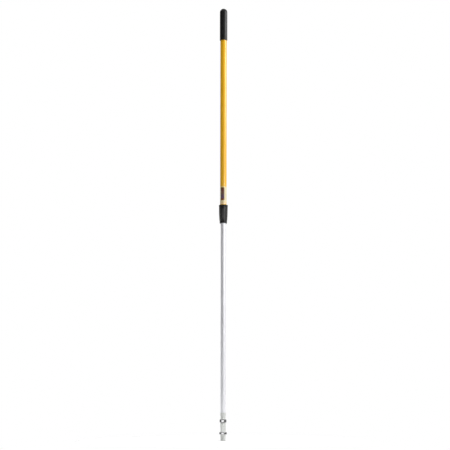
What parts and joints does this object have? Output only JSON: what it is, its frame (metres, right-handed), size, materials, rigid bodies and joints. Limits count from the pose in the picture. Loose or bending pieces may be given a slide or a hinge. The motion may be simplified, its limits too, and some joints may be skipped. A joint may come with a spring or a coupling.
{
  "type": "telescoping extension pole",
  "caption": "Slim two-section telescoping pole with a domed hand grip, a twist-lock collar and a ringed quick-connect stem for rollers, mops and dusters.",
  "frame": {"origin": "centre of the end face of the quick-connect stem, on the pole's axis", "axes": "+Z along the pole's axis from the stem up to the hand grip; the label's dark panel faces between -X and -Y, and the front view looks along +Y"},
  "size_m": [0.0374, 0.0374, 1.829],
  "materials": {
    "yellow_coat": "gloss",
    "grip_rubber": "satin",
    "black_nylon": "satin",
    "printed_label": "gloss",
    "steel_fasteners": "satin",
    "white_acetal": "satin",
    "soft_black_rubber": "matte",
    "bare_aluminium": "satin",
    "stem_aluminium": "satin",
    "dark_steel": "polished"
  },
  "bodies": {
    "handle_section": {"outer_tube": "yellow_coat", "hand_grip": "grip_rubber", "grip_end_plug": "black_nylon", "label": "printed_label", "lock_body": "black_nylon", "body_pins": "steel_fasteners"},
    "lock_carrier": {"split_collet": "white_acetal", "slip_washer": "white_acetal"},
    "lock_collar": {"lock_nut": "black_nylon", "nut_grip_sleeve": "soft_black_rubber", "nut_retaining_ring": "steel_fasteners", "wiper_seal": "soft_black_rubber", "seal_retainer": "black_nylon"},
    "guide_carriage": {"guide_bush": "white_acetal"},
    "inner_section": {"inner_tube": "bare_aluminium", "inner_end_plug": "black_nylon", "end_plug_pin": "steel_fasteners", "end_bumper": "soft_black_rubber", "bumper_screw": "steel_fasteners", "stop_bush": "white_acetal", "stop_bush_pin": "steel_fasteners", "stem_body": "stem_aluminium", "stem_pin": "steel_fasteners", "tube_ferrule": "stem_aluminium", "guide_collar": "dark_steel", "stem_spacer": "stem_aluminium", "latch_collar": "dark_steel", "nose_cap": "stem_aluminium", "nose_screw": "steel_fasteners"}
  },
  "joints": [
    {"name": "pole_extension", "type": "slide", "parent": "handle_section", "child": "guide_carriage", "axis": [0, 0, 1], "range_m": [0, 0.61]},
    {"name": "inner_turn", "type": "hinge", "parent": "guide_carriage", "child": "inner_section", "pos_m": [0, 0, 1.169], "axis": [0, 0, 1], "continuous": true},
    {"name": "lock_travel", "type": "slide", "parent": "handle_section", "child": "lock_carrier", "axis": [0, 0, -1], "range_m": [0, 0.0021]},
    {"name": "lock_twist", "type": "hinge", "parent": "lock_carrier", "child": "lock_collar", "pos_m": [0, 0, 0.915], "axis": [0, 0, -1], "range_deg": [0, 120]}
  ],
  "couplings": [
    {"joint": "lock_travel", "follows": "lock_twist", "m_per_rad": 0.000955}
  ]
}
